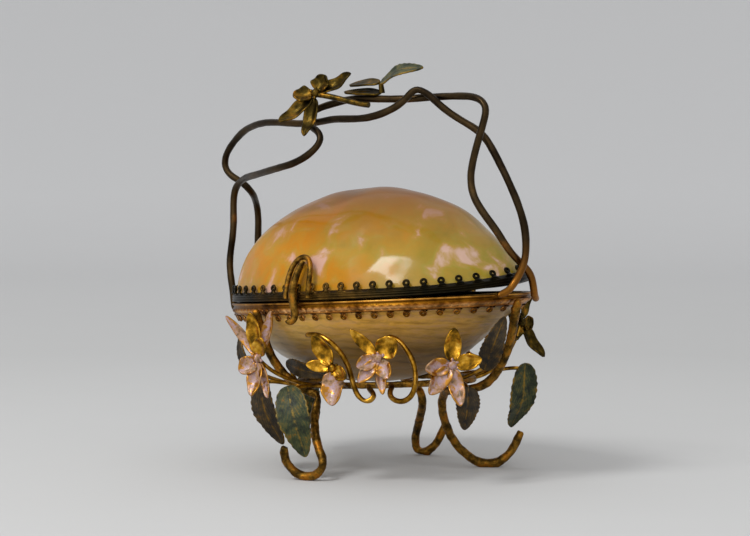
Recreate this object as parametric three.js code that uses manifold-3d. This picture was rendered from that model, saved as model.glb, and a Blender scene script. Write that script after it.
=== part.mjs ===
import * as THREE from "three"
import { mergeVertices } from "three/addons/utils/BufferGeometryUtils.js"
import Module from "manifold-3d"

// A trinket box of two mother-of-pearl shell halves in crenellated brass rims, on a stand of bent
// wire with flowers and leaves. Millimetres, +Z up, the clasp towards -Y and the hinge towards +Y.
// Free pieces are given in the tilted box's own frame, whose z = 0 is the plane where the rims meet.

// The two shell halves
const SHELL_LENGTH = 93
const SHELL_WIDTH = 60
const EGG_SHARE = 0.1
const SHELL_WALL = 1.6
const LID_RISE = 29.5
const BOWL_DEPTH = 22.5
// A half's height follows (1 - share^DOME_POWER)^slimness, and is slimmer towards the +X end
const DOME_POWER = 2.1
const LID_SLIMNESS = 0.7
const LID_SLIMNESS_CHANGE = 0.2
const BOWL_SLIMNESS = 0.88
const BOWL_SLIMNESS_CHANGE = 0.2

// The two rims, and how far the warped end of the lid stands open
const RIM_GAP = 0.4
const RIM_WALL = 0.8
const LEDGE_THICKNESS = 0.8
const LEDGE_WIDTH = 2.2
const LID_RIM_HEIGHT = 2.5
const BOWL_RIM_HEIGHT = 3.3
const TOOTH_COUNT = 52
const TOOTH_WIDTH = 1.7
const TOOTH_HEIGHT = 1.8
const LID_WARP = 2.8
const LID_WARP_TURN = 15

// Clearances: between touching pieces, and between a rim and the shell that it holds
const TOUCH_GAP = 0.3
const RIM_FIT = 0.5

// The hinge and the spring catch
const HINGE_LENGTH = 14
const KNUCKLE_DIAMETER = 2.6
const PIN_DIAMETER = 1.2
const PIN_CLEARANCE = 0.1
const KNUCKLE_GAP = 0.3
const LEAF_THICKNESS = 0.8
const CATCH_TURN = -93
const CATCH_WIDTH = 9.2
const CATCH_HEIGHT = 12
const CATCH_WIRE = 1.5
const TONGUE_WIRE = 2

// The handle, the stand and the trim on them
const HANDLE_HEIGHT = 57
const HANDLE_WIRE = 2
const LEG_HEIGHT = 25
const LEG_WIRE = 2.4
const FOOT_FLAT_DEPTH = 0.3
const CRADLE_DROP = 1
const CRADLE_SHARE = 0.62
const CRADLE_WIRE = 1.8
const TENDRIL_WIRE = 1.5
const STEM_WIRE = 1.1
const BOX_TILT = 3.5
const LEAF_BLADE = 0.8
const PETAL_BLADE = 0.9

const HALF_LENGTH = SHELL_LENGTH / 2
const HALF_WIDTH = SHELL_WIDTH / 2
const CRADLE_LEVEL = BOWL_DEPTH + CRADLE_DROP
const RIM_LEVEL = LEG_HEIGHT + CRADLE_LEVEL
const RIM_OUTSIDE = RIM_FIT + RIM_WALL

const wasm = await Module()
wasm.setup()
const radians = THREE.MathUtils.degToRad

// Solids

// Turns a shape's faces outwards, whichever way its points were listed
function facedOut(geometry) {
  const index = geometry.index.array
  const place = geometry.attributes.position
  const [a, b, c] = [new THREE.Vector3(), new THREE.Vector3(), new THREE.Vector3()]
  let volume = 0
  for (let i = 0; i < index.length; i += 3) {
    a.fromBufferAttribute(place, index[i])
    b.fromBufferAttribute(place, index[i + 1])
    c.fromBufferAttribute(place, index[i + 2])
    volume += a.dot(b.cross(c))
  }
  if (volume < 0) {
    for (let i = 0; i < index.length; i += 3) {
      [index[i + 1], index[i + 2]] = [index[i + 2], index[i + 1]]
    }
  }
  return geometry
}

function facets(points, faces) {
  const geometry = new THREE.BufferGeometry()
  const places = points.flatMap((point) => point.toArray())
  geometry.setAttribute("position", new THREE.Float32BufferAttribute(places, 3))
  geometry.setIndex(faces)
  return facedOut(geometry)
}

function solidOf(geometry) {
  const bare = geometry.clone()
  bare.deleteAttribute("normal")
  bare.deleteAttribute("uv")
  const merged = mergeVertices(bare, 1e-4)
  return new wasm.Manifold(new wasm.Mesh({
    numProp: 3,
    vertProperties: new Float32Array(merged.attributes.position.array),
    triVerts: new Uint32Array(merged.index.array),
  }))
}

function geometryOf(solid) {
  const mesh = solid.getMesh()
  const geometry = new THREE.BufferGeometry()
  geometry.setAttribute("position", new THREE.BufferAttribute(mesh.vertProperties, 3))
  geometry.setIndex(new THREE.BufferAttribute(mesh.triVerts, 1))
  return geometry
}

function joined(geometries) {
  return geometryOf(geometries.map(solidOf).reduce((whole, piece) => whole.add(piece)))
}

// Two triangles, or one where two corners are the same point
function quad(faces, a, b, c, d) {
  if (a !== b && b !== c) faces.push(a, b, c)
  if (c !== d && d !== a) faces.push(a, c, d)
}

// A bent round wire through the given points, whose flats have together the round section's area
function wire(points, diameter, steps, sides = 5) {
  const reach = (diameter / 2) * Math.sqrt((2 * Math.PI) / (sides * Math.sin((2 * Math.PI) / sides)))
  const section = new THREE.Shape()
  for (let side = 0; side < sides; side++) {
    const turn = (side / sides) * 2 * Math.PI
    const corner = [reach * Math.cos(turn), reach * Math.sin(turn)]
    if (side === 0) section.moveTo(...corner)
    else section.lineTo(...corner)
  }
  const extrudePath = new THREE.CatmullRomCurve3(points, false, "centripetal")
  return new THREE.ExtrudeGeometry(section, { steps, bevelEnabled: false, extrudePath })
}

// A petal or leaf: a pointed blade with a raised midrib, cupped across and curled along its length
function blade({ base, tip, facing, width, thickness, cup, curl = 0.1, stations = 3, fullest = 0.5 }) {
  const along = tip.clone().sub(base)
  const length = along.length()
  along.normalize()
  const up = facing.clone().addScaledVector(along, -facing.dot(along)).normalize()
  const across = up.clone().cross(along)
  const place = (share, side, lift) => base.clone()
    .addScaledVector(along, share * length)
    .addScaledVector(across, side)
    .addScaledVector(up, lift)
  const points = [place(0, 0, 0)]
  for (let station = 1; station < stations; station++) {
    const share = station / stations
    const half = (width / 2) * Math.pow(Math.sin(Math.PI * Math.pow(share, fullest)), 0.7)
    const arch = curl * length * Math.sin(Math.PI * share) ** 2
    points.push(place(share, half, arch + cup * half), place(share, -half, arch + cup * half))
    points.push(place(share, 0, arch + thickness / 2), place(share, 0, arch - thickness / 2))
  }
  points.push(place(1, 0, 0))
  const last = points.length - 1
  const [left, right, top, under] = [1, 2, 3, 4]
  const faces = []
  const end = last - 5
  faces.push(0, top, left, 0, right, top, 0, left, under, 0, under, right)
  for (let from = 0; from < end; from += 4) {
    const to = from + 4
    quad(faces, from + left, from + top, to + top, to + left)
    quad(faces, from + top, from + right, to + right, to + top)
    quad(faces, from + under, from + left, to + left, to + under)
    quad(faces, from + right, from + under, to + under, to + right)
  }
  faces.push(last, end + left, end + top, last, end + top, end + right)
  faces.push(last, end + under, end + left, last, end + right, end + under)
  return facets(points, faces)
}

// The egg-shaped outline of the shell at its rim, and places measured from it

class RimOutline extends THREE.Curve {
  getPoint(share, target = new THREE.Vector3()) {
    const turn = share * 2 * Math.PI
    const y = HALF_WIDTH * Math.sin(turn) * (1 - EGG_SHARE * Math.cos(turn))
    return target.set(HALF_LENGTH * Math.cos(turn), y, 0)
  }
}
const rim = new RimOutline()
rim.arcLengthDivisions = 720

function outwards(turn) {
  const slopeX = -HALF_LENGTH * Math.sin(turn)
  const swell = Math.cos(turn) * (1 - EGG_SHARE * Math.cos(turn)) + EGG_SHARE * Math.sin(turn) ** 2
  return new THREE.Vector3(HALF_WIDTH * swell, -slopeX, 0).normalize()
}

// At a turn round the outline: a share of the way out to it, then a stand-off square to it, at a height
function beside(turn, share, standOff, height) {
  const point = rim.getPoint(turn / (2 * Math.PI)).multiplyScalar(share)
  point.addScaledVector(outwards(turn), standOff)
  point.z = height
  return point
}

// The same in degrees, with the height as a share of the drop from the rims to the cradle ring
function below(degrees, share, drop) {
  return beside(radians(degrees), share, 0, -drop * CRADLE_LEVEL)
}

// Where a wire of this diameter is soldered to the outside of the bowl's rim
function rimSeat(degrees, diameter, height, spare = 0) {
  return beside(radians(degrees), 1, RIM_OUTSIDE + TOUCH_GAP + diameter / 2 + spare, height)
}

// Where the end of a wire of this diameter is soldered to the outside of the cradle ring
function cradleSeat(degrees, diameter) {
  const standOff = CRADLE_WIRE / 2 + TOUCH_GAP + diameter / 4
  return beside(radians(degrees), CRADLE_SHARE, standOff, -CRADLE_LEVEL)
}

// A dome's height over its edge at a share of the way out, and the share where it has a given height
const slimness = ({ slim, slimChange }, turn) => slim + slimChange * Math.cos(turn)
function domeHeight(half, turn, share) {
  return half.height * Math.max(0, 1 - share ** DOME_POWER) ** slimness(half, turn)
}
function domeShare(half, turn, rise) {
  const heightShare = Math.min(1, Math.max(0, rise / half.height))
  return (1 - heightShare ** (1 / slimness(half, turn))) ** (1 / DOME_POWER)
}
const lidWarp = (turn) => LID_WARP * ((1 + Math.cos(turn - radians(LID_WARP_TURN))) / 2) ** 8

// The shell halves and their rims

const SHELL_EDGE = LEDGE_THICKNESS + TOUCH_GAP
const SHELL_COLUMNS = 32
const SHELL_ROWS = 6

// A dished shell half: side +1 is the lid, -1 the bowl
function shellHalf(half) {
  const { side, warp, meetingPlane } = half
  const points = []
  const faces = []
  const skin = (inset) => {
    const dome = { ...half, height: half.height - inset }
    const first = points.length
    for (let row = 0; row < SHELL_ROWS; row++) {
      const share = Math.cos((row / SHELL_ROWS) * Math.PI / 2)
      for (let column = 0; column < SHELL_COLUMNS; column++) {
        const turn = (column / SHELL_COLUMNS) * 2 * Math.PI
        const edge = meetingPlane + SHELL_EDGE + warp(turn) * share ** 2
        const point = beside(turn, 1, -inset, 0).multiplyScalar(share)
        point.z = side * (edge + domeHeight(dome, turn, share))
        points.push(point)
      }
    }
    points.push(new THREE.Vector3(0, 0, side * (meetingPlane + SHELL_EDGE + dome.height)))
    return first
  }
  const outer = skin(0)
  const inner = skin(SHELL_WALL)
  for (let column = 0; column < SHELL_COLUMNS; column++) {
    const next = (column + 1) % SHELL_COLUMNS
    for (let row = 0; row < SHELL_ROWS - 1; row++) {
      const [low, high] = [row * SHELL_COLUMNS, (row + 1) * SHELL_COLUMNS]
      quad(faces, outer + low + column, outer + low + next, outer + high + next, outer + high + column)
      quad(faces, inner + low + next, inner + low + column, inner + high + column, inner + high + next)
    }
    const top = (SHELL_ROWS - 1) * SHELL_COLUMNS
    faces.push(outer + top + column, outer + top + next, outer + SHELL_ROWS * SHELL_COLUMNS)
    faces.push(inner + top + next, inner + top + column, inner + SHELL_ROWS * SHELL_COLUMNS)
    quad(faces, outer + next, outer + column, inner + column, inner + next)
  }
  return facets(points, faces)
}

// A rim: a ledge under the shell's edge and a wall outside it that ends in a row of teeth
function toothedRim(half, wallHeight) {
  const { side, warp, meetingPlane } = half
  const place = (turn, standOff, rise) => {
    const share = domeShare(half, turn, rise - SHELL_EDGE - RIM_FIT)
    return beside(turn, share, standOff, side * (meetingPlane + warp(turn) + rise))
  }
  const section = [
    [-LEDGE_WIDTH, 0],
    [RIM_OUTSIDE, 0],
    [RIM_OUTSIDE, wallHeight],
    [RIM_FIT, wallHeight],
    [RIM_FIT, LEDGE_THICKNESS],
    [-LEDGE_WIDTH, LEDGE_THICKNESS],
  ]
  const corners = section.length
  const topIndex = 2
  const ledgeEdge = [0, 5]
  const toothHalf = TOOTH_WIDTH / 2 / rim.getLength()
  const turns = []
  for (let tooth = 0; tooth < TOOTH_COUNT; tooth++) {
    const middle = (tooth + 0.5) / TOOTH_COUNT
    turns.push(rim.getUtoTmapping(middle - toothHalf) * 2 * Math.PI)
    turns.push(rim.getUtoTmapping(middle + toothHalf) * 2 * Math.PI)
  }
  const points = []
  const ring = section.map(([standOff, rise], corner) => turns.map((turn, column) => {
    if (column % 2 === 1 && ledgeEdge.includes(corner)) return points.length - 1
    return points.push(place(turn, standOff, rise)) - 1
  }))
  const faces = []
  turns.forEach((turn, column) => {
    const next = (column + 1) % turns.length
    const isTooth = column % 2 === 0
    for (let corner = 0; corner < corners; corner++) {
      if (isTooth && corner === topIndex) continue
      const following = ring[(corner + 1) % corners]
      quad(faces, ring[corner][column], ring[corner][next], following[next], following[column])
    }
    if (!isTooth) return
    const tip = points.length
    for (const toothTurn of [turn, turns[next]]) {
      points.push(place(toothTurn, RIM_OUTSIDE, wallHeight + TOOTH_HEIGHT))
      points.push(place(toothTurn, RIM_FIT, wallHeight + TOOTH_HEIGHT))
    }
    const [outA, outB] = [ring[topIndex][column], ring[topIndex][next]]
    const [inA, inB] = [ring[topIndex + 1][column], ring[topIndex + 1][next]]
    quad(faces, outA, outB, tip + 2, tip)
    quad(faces, outB, inB, tip + 3, tip + 2)
    quad(faces, inB, inA, tip + 1, tip + 3)
    quad(faces, inA, outA, tip, tip + 1)
    quad(faces, tip, tip + 2, tip + 3, tip + 1)
  })
  return facets(points, faces)
}

const lid = {
  side: 1,
  height: LID_RISE,
  slim: LID_SLIMNESS,
  slimChange: LID_SLIMNESS_CHANGE,
  warp: lidWarp,
  meetingPlane: RIM_GAP,
}
const bowl = {
  side: -1,
  height: BOWL_DEPTH,
  slim: BOWL_SLIMNESS,
  slimChange: BOWL_SLIMNESS_CHANGE,
  warp: () => 0,
  meetingPlane: 0,
}

// The hinge, at the middle of the back

const HINGE_Z = RIM_GAP / 2
const LEAF_FACE = HALF_WIDTH + RIM_OUTSIDE + TOUCH_GAP
const HINGE_Y = LEAF_FACE + LEAF_THICKNESS / 2 + KNUCKLE_DIAMETER / 2
const KNUCKLE_LENGTH = (HINGE_LENGTH - 2 * KNUCKLE_GAP) / 3

function hingeCylinder(diameter, length, middle) {
  const cylinder = new THREE.CylinderGeometry(diameter / 2, diameter / 2, length, 8)
  return cylinder.rotateZ(Math.PI / 2).translate(middle, HINGE_Y, HINGE_Z)
}

// A leaf soldered to one rim, with its knuckles: side +1 is the lid's, -1 the bowl's
function hingeLeaf(side, reach, middles) {
  const start = KNUCKLE_DIAMETER / 2 + TOUCH_GAP
  const plate = new THREE.BoxGeometry(HINGE_LENGTH, LEAF_THICKNESS, reach - start)
  plate.translate(0, LEAF_FACE + LEAF_THICKNESS / 2, HINGE_Z + side * (start + reach) / 2)
  let leaf = solidOf(plate)
  for (const middle of middles) {
    leaf = leaf.add(solidOf(hingeCylinder(KNUCKLE_DIAMETER, KNUCKLE_LENGTH, middle)))
    const web = new THREE.BoxGeometry(KNUCKLE_LENGTH, LEAF_THICKNESS, start + LEAF_THICKNESS)
    web.translate(middle, LEAF_FACE + LEAF_THICKNESS / 2, HINGE_Z + side * (start + LEAF_THICKNESS) / 2)
    leaf = leaf.add(solidOf(web))
  }
  const bore = hingeCylinder(PIN_DIAMETER + 2 * PIN_CLEARANCE, 2 * HINGE_LENGTH, 0)
  return geometryOf(leaf.subtract(solidOf(bore)))
}

const outerKnuckle = KNUCKLE_LENGTH + KNUCKLE_GAP

// The spring catch, one bent wire on the lid's rim: an arch against the shell, and a tongue that
// snaps down over the bowl's rim

function catchPlace(sideways, standOff, height) {
  const turn = radians(CATCH_TURN)
  const share = domeShare(lid, turn, height - RIM_GAP - SHELL_EDGE)
  const point = beside(turn, share, standOff, height)
  const along = outwards(turn).cross(new THREE.Vector3(0, 0, 1))
  return point.addScaledVector(along, -sideways)
}

function springCatch() {
  const arch = RIM_OUTSIDE + TOUCH_GAP + CATCH_WIRE / 2 + 0.1
  const half = (CATCH_WIDTH - CATCH_WIRE) / 2
  const wallFoot = RIM_GAP + CATCH_WIRE / 2
  const bend = [[-1, 0.33], [-0.97, 0.63], [-0.62, 0.9], [0, 1], [0.62, 0.9], [0.97, 0.63], [1, 0.33]]
  const archPoints = [
    catchPlace(-half, arch, wallFoot),
    ...bend.map(([sideways, rise]) => {
      return catchPlace(sideways * half, arch, rise * CATCH_HEIGHT - CATCH_WIRE / 2)
    }),
    catchPlace(half, arch, wallFoot),
  ]
  const tongue = RIM_OUTSIDE + TOUCH_GAP + TONGUE_WIRE / 2
  const tonguePoints = [
    catchPlace(0, arch, CATCH_HEIGHT - CATCH_WIRE),
    catchPlace(-0.5, tongue + 0.4, CATCH_HEIGHT * 0.6),
    catchPlace(-1.1, tongue + 0.5, CATCH_HEIGHT * 0.3),
    catchPlace(-1.1, tongue + 0.1, RIM_GAP),
    catchPlace(-0.6, tongue, -BOWL_RIM_HEIGHT),
    catchPlace(-1, tongue + 0.9, -BOWL_RIM_HEIGHT - TOOTH_HEIGHT),
    catchPlace(-2.2, tongue + 1.6, -BOWL_RIM_HEIGHT - TOOTH_HEIGHT),
  ]
  return joined([wire(archPoints, CATCH_WIRE, 14), wire(tonguePoints, TONGUE_WIRE, 9)])
}

// The handle: two wires bent by hand, which cross and lie together at the top. Each point is a share
// of the shell's half length and half width and of the handle's height.

function handlePoint([alongShare, acrossShare, heightShare]) {
  return new THREE.Vector3(alongShare * HALF_LENGTH, acrossShare * HALF_WIDTH, heightShare * HANDLE_HEIGHT)
}

const BACK_WIRE = [
  [-1.1, 0.13, 0.17], [-1.08, 0.13, 0.29], [-1.07, 0.14, 0.39], [-1.06, 0.12, 0.485],
  [-1.02, 0.02, 0.528], [-0.95, -0.13, 0.56], [-0.98, -0.22, 0.615], [-1.05, -0.27, 0.65],
  [-1.09, -0.27, 0.69], [-1.06, -0.3, 0.75], [-0.97, -0.33, 0.81], [-0.828, -0.392, 0.865],
  [-0.613, -0.505, 0.888], [-0.428, -0.569, 0.88], [-0.243, -0.579, 0.862], [-0.103, -0.579, 0.862],
  [0.047, -0.609, 0.868], [0.177, -0.639, 0.858], [0.277, -0.649, 0.855], [0.395, -0.645, 0.863],
  [0.498, -0.614, 0.89], [0.568, -0.577, 0.925], [0.597, -0.56, 0.967], [0.625, -0.544, 0.98],
  [0.659, -0.524, 0.972], [0.74, -0.469, 0.9], [0.821, -0.381, 0.83], [0.89, -0.32, 0.79],
  [0.96, -0.27, 0.74], [1.05, -0.23, 0.6], [1.12, -0.17, 0.44], [1.14, -0.1, 0.31], [1.13, -0.07, 0.2],
  [1.105, -0.07, 0.12],
].map(handlePoint)

const FRONT_WIRE = [
  [-1.05, -0.33, 0.2], [-1, -0.33, 0.37], [-0.99, -0.33, 0.52], [-0.965, -0.34, 0.58],
  [-0.863, -0.402, 0.617], [-0.587, -0.646, 0.632], [-0.293, -0.829, 0.65], [-0.123, -0.849, 0.673],
  [-0.013, -0.809, 0.722], [0.032, -0.779, 0.77], [-0.013, -0.749, 0.812], [-0.103, -0.719, 0.84],
  [-0.168, -0.679, 0.88], [-0.123, -0.609, 0.92], [0.007, -0.549, 0.945], [0.167, -0.549, 0.958],
  [0.347, -0.529, 0.943], [0.545, -0.48, 0.932], [0.667, -0.42, 0.932], [0.793, -0.385, 0.928],
  [0.94, -0.39, 0.918], [1.03, -0.4, 0.898], [1.068, -0.41, 0.86], [1.04, -0.41, 0.8],
  [0.99, -0.41, 0.71], [0.925, -0.38, 0.6], [0.9, -0.37, 0.51], [0.935, -0.37, 0.43],
  [0.985, -0.33, 0.36], [1.03, -0.26, 0.28], [1.06, -0.18, 0.2], [1.062, -0.04, 0.145],
].map(handlePoint)

// Both wires end soldered to the bowl's rim. At the right end they twist once round each other.
const backWire = [rimSeat(178, HANDLE_WIRE, -2.6), rimSeat(176, HANDLE_WIRE, 3, 0.3), ...BACK_WIRE,
  rimSeat(-5, HANDLE_WIRE, 3.4, 0.4), rimSeat(-9, HANDLE_WIRE, 0.6, 0.1), rimSeat(-12.5, HANDLE_WIRE, -0.2),
  rimSeat(-16, HANDLE_WIRE, -0.4)]
const frontWire = [rimSeat(-163, HANDLE_WIRE, -2.6), rimSeat(-163, HANDLE_WIRE, 3, 0.2), ...FRONT_WIRE,
  rimSeat(4, HANDLE_WIRE, 5.6, 1.2), rimSeat(7, HANDLE_WIRE, 2.6, 1.1), rimSeat(12, HANDLE_WIRE, -1, 0.2),
  rimSeat(20, HANDLE_WIRE, -2.2)]

// The stand

const boxFrame = new THREE.Group()
boxFrame.position.z = RIM_LEVEL
boxFrame.rotation.y = -radians(BOX_TILT)
boxFrame.updateMatrix()
const standing = (point) => point.applyMatrix4(boxFrame.matrix)

// A point of a leg below the cradle: shares of the half length and half width, and of the leg's height
function lowPoint([alongShare, acrossShare, heightShare]) {
  return new THREE.Vector3(alongShare * HALF_LENGTH, acrossShare * HALF_WIDTH, heightShare * LEG_HEIGHT)
}

const FOOT_LEVEL = (LEG_WIRE / 2 - FOOT_FLAT_DEPTH) / LEG_HEIGHT

const LEGS = {
  leg_front: {
    seat: -113,
    high: [[-114, 1.0, 0.38], [-117, 0.9, 0.68], [-114, 0.8, 0.92], [-108, 0.73, 1.06], [-101, 0.68, 1.12]],
    low: [[-0.105, -0.74, 0.76], [-0.06, -0.83, 0.57], [-0.005, -0.9, 0.4], [0.055, -0.935, 0.27],
      [0.09, -0.96, 0.17], [0.045, -0.98, 0.07], [-0.05, -1.005, FOOT_LEVEL], [-0.11, -1.06, 0.11],
      [-0.13, -1.12, 0.24], [-0.11, -1.16, 0.37]],
  },
  leg_right: {
    seat: -4,
    high: [[-1, 0.99, 0.36], [2, 0.93, 0.6], [5, 0.84, 0.86], [7, 0.73, 1.05], [8, 0.6, 1.11],
      [12, 0.48, 1.12]],
    low: [[0.365, 0.23, 0.88], [0.3, 0.33, 0.68], [0.28, 0.44, 0.47], [0.285, 0.57, 0.26],
      [0.35, 0.66, 0.1], [0.445, 0.73, FOOT_LEVEL], [0.52, 0.83, 0.08], [0.555, 0.93, 0.22],
      [0.575, 1.0, 0.4]],
  },
  leg_back: {
    seat: 122,
    high: [[121, 1.02, 0.36], [119, 0.94, 0.64], [114, 0.82, 0.92], [106, 0.72, 1.08], [97, 0.62, 1.13]],
    low: [[0.0, 0.62, 0.74], [-0.085, 0.76, 0.55], [-0.18, 0.89, 0.35], [-0.245, 0.97, 0.17],
      [-0.245, 1.0, FOOT_LEVEL], [-0.185, 1.035, FOOT_LEVEL], [-0.12, 1.09, 0.16], [-0.075, 1.13, 0.38]],
  },
}

function leg({ seat, high, low }) {
  const points = [rimSeat(seat, LEG_WIRE, -1.6, 0.1), ...high.map((point) => below(...point))].map(standing)
  points.push(...low.map(lowPoint))
  const floor = new THREE.BoxGeometry(2 * SHELL_LENGTH, 2 * SHELL_LENGTH, LEG_WIRE)
  floor.translate(0, 0, -LEG_WIRE / 2)
  return geometryOf(solidOf(wire(points, LEG_WIRE, 23, 6)).subtract(solidOf(floor)))
}

// The cradle: an oval wire under the bowl that the legs pass under. Its ends butt together at the back.
function cradleRing() {
  const seam = 150
  const seamTurn = THREE.MathUtils.radToDeg(TOUCH_GAP / (CRADLE_SHARE * HALF_WIDTH))
  const points = []
  for (let step = 0; step <= 24; step++) {
    points.push(below(seam + seamTurn + (step / 24) * (360 - 2 * seamTurn), CRADLE_SHARE, 1))
  }
  return wire(points, CRADLE_WIRE, 28)
}

// Curling tendrils, from the cradle out and up in front of the bowl
const TENDRILS = {
  tendril_front: {
    root: -71,
    route: [[-70, 0.8, 1.03], [-67, 0.93, 1.1], [-70, 0.95, 1.17], [-73, 0.97, 1.1], [-75, 0.98, 0.9],
      [-76, 1.0, 0.74], [-78, 1.03, 0.59], [-81, 1.05, 0.47], [-86, 1.04, 0.38], [-92, 1.01, 0.38]],
  },
  tendril_right: {
    root: -59,
    route: [[-59, 0.76, 1.0], [-61, 0.87, 1.07], [-60, 0.92, 1.14], [-56, 0.94, 1.17], [-52.5, 0.96, 1.1],
      [-51, 0.97, 0.95], [-51, 0.95, 0.75], [-54, 0.92, 0.56], [-57, 0.9, 0.46], [-61, 0.88, 0.43]],
  },
  tendril_back: {
    root: 72,
    route: [[70, 0.8, 0.98], [67, 0.93, 0.95], [65, 0.98, 0.8], [67, 1.0, 0.62], [73, 1.0, 0.52],
      [80, 0.99, 0.6], [81, 0.98, 0.74], [76, 0.98, 0.8]],
  },
}

function tendril({ root, route }) {
  const points = [cradleSeat(root, TENDRIL_WIRE), ...route.map((point) => below(...point))]
  return wire(points, TENDRIL_WIRE, 17)
}

// A level direction, by its degrees round from +X
const headed = (degrees) => new THREE.Vector3(Math.cos(radians(degrees)), Math.sin(radians(degrees)), 0)

// Flowers: which way each faces, its centre, where its stem is soldered on and what the stem passes.
// Petals are laid round the centre by the clock: [degrees from upright, length, width, forward lean].
const FLOWERS = {
  flower_left: {
    facing: -75,
    centre: [-108, 1.15, 0.63],
    root: -105,
    stem: [[-107, 1.08, 0.78], [-105, 0.95, 0.93]],
    petals: [[-4, 13, 4.6, 0.15], [22, 14, 3.4, 0.05], [30, 7.3, 4.6, 0.5], [-36, 15, 3, 0.1],
      [232, 6.5, 5.4, 0.4], [184, 11, 4.6, 0.35], [163, 11.8, 3, 0.15]],
  },
  flower_front: {
    facing: -70,
    centre: [-81, 1.04, 0.76],
    root: -84,
    stem: [[-83, 0.9, 0.92]],
    petals: [[-27, 10.6, 5, 0.2], [-79, 7.5, 3.4, 0.3], [177, 10.5, 6.6, 0.3],
      [118, 6.6, 4, 0.6]],
  },
  flower_middle: {
    facing: -60,
    centre: [-64.5, 1.03, 0.66],
    root: -66,
    stem: [[-65.5, 0.96, 0.82], [-66, 0.85, 0.95]],
    petals: [[-42, 10.9, 3.4, 0.15], [43, 7.5, 6.5, 0.25], [-109, 6.6, 4.6, 0.4],
      [153, 6.7, 4.6, 0.4], [220, 8.8, 4, 0.4], [174, 10, 3, 0.2]],
  },
  flower_right: {
    facing: -45,
    centre: [-37.5, 1.02, 0.77],
    root: -36,
    stem: [[-37, 0.92, 0.92]],
    petals: [[5, 10.3, 4.8, 0.2], [80, 8.4, 4.6, 0.3], [-94, 8.1, 5, 0.4],
      [223, 10.7, 5, 0.4], [172, 11.5, 4.4, 0.3]],
  },
  flower_end: {
    facing: -20,
    centre: [53.5, 1.08, 0.38],
    root: 42,
    stem: [[50, 1.02, 0.6], [44, 0.86, 0.94]],
    petals: [[25, 10.4, 2.6, 0.1], [100, 4, 4.4, 0.3], [149, 12.2, 3.6, 0.2],
      [-140, 6.5, 4, 0.3], [-60, 6, 4, 0.3]],
  },
  flower_back: {
    facing: 135,
    centre: [140, 1.0, 0.68],
    root: 138,
    stem: [[139, 0.88, 0.9]],
    petals: [[-10, 9.5, 5, 0.2], [62, 7.5, 5, 0.3], [135, 7.5, 5, 0.4],
      [205, 7.5, 5, 0.4], [-75, 7.5, 5, 0.3]],
  },
}

// Petals round one centre, which faces outwards, and the bead that holds them
function corolla(centre, outward, upright, petals) {
  const sideways = upright.clone().cross(outward)
  const pieces = petals.map(([clock, length, width, lean]) => {
    const turn = radians(clock)
    const reach = upright.clone().multiplyScalar(Math.cos(turn)).addScaledVector(sideways, Math.sin(turn))
    reach.addScaledVector(outward, lean).normalize()
    const base = centre.clone().addScaledVector(reach, 0.9)
    const tip = centre.clone().addScaledVector(reach, length)
    const shape = { cup: 0.35, curl: -0.1, fullest: 0.8 }
    return blade({ base, tip, facing: outward, width, thickness: PETAL_BLADE, ...shape })
  })
  pieces.push(new THREE.OctahedronGeometry(1.8).translate(...centre.toArray()))
  return pieces
}

function flower({ facing, centre, root, stem, petals }) {
  const heart = below(...centre)
  const outward = headed(facing)
  const points = [heart, ...stem.map((point) => below(...point)), cradleSeat(root, STEM_WIRE)]
  const pieces = corolla(heart, outward, new THREE.Vector3(0, 0, 1), petals)
  return joined([...pieces, wire(points, STEM_WIRE, 4, 4)])
}

// Leaves of the stand: where the base and the tip are, the width and which way the upper side faces
const LEAVES = {
  leaf_front: { base: [-102, 1.0, 0.96], tip: [-96, 0.97, 1.8], width: 9.8, root: -98, facing: -58 },
  leaf_left_dark: { base: [-130, 0.92, 0.9], tip: [-123, 0.8, 1.7], width: 8.4, root: -129, facing: -85 },
  leaf_under: { base: [-123, 0.75, 0.73], tip: [-92, 0.7, 0.88], width: 4.8, root: -124, facing: -110 },
  leaf_left_small: { base: [-138, 0.93, 0.84], tip: [-141, 1.0, 0.38], width: 5, root: -140, facing: -110 },
  leaf_right_tall: { base: [-16, 0.9, 0.86], tip: [-14, 1.07, 0.25], width: 6.4, root: -20, facing: -55 },
  leaf_end: { base: [51, 1.08, 0.86], tip: [66, 1.12, 1.66], width: 9, root: 55, facing: -25 },
  leaf_right_dark: { base: [-14, 0.74, 1.05], tip: [-22, 0.78, 1.54], width: 7, root: -10, facing: -45 },
  leaf_back: { base: [157, 0.95, 0.92], tip: [152, 0.98, 1.6], width: 8, root: 160, facing: 150 },
}

function leaf({ base, tip, width, root, facing }) {
  const from = below(...base)
  const to = below(...tip)
  const seat = cradleSeat(root, STEM_WIRE)
  const inside = from.clone().lerp(to, 0.15)
  const shape = { width, thickness: LEAF_BLADE, cup: 0.2, stations: 5, fullest: 0.7 }
  return joined([
    blade({ base: from, tip: to, facing: headed(facing), ...shape }),
    wire([inside, from, from.clone().lerp(seat, 0.6), seat], STEM_WIRE, 3, 4),
  ])
}

// The spray on top of the handle: a flower, a green leaf and a small gilt leaf on one stub

function handleFlower() {
  const heart = handlePoint([-0.049, -0.696, 0.99])
  const outward = new THREE.Vector3(0.35, -0.8, 0.5).normalize()
  const upright = new THREE.Vector3(0, 0, 1).addScaledVector(outward, -outward.z).normalize()
  const petals = [[65, 11.6, 4, 0.2], [30, 6, 5.5, 0.4], [-100, 6.5, 5, 0.3], [230, 13, 4.4, 0],
    [191, 13, 4, -0.1]]
  const stem = [heart, handlePoint([0.067, -0.639, 0.975]), handlePoint([0.167, -0.614, 0.935]),
    handlePoint([0.297, -0.591, 0.918])]
  return joined([...corolla(heart, outward, upright, petals), wire(stem, 1.6, 6)])
}

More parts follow.
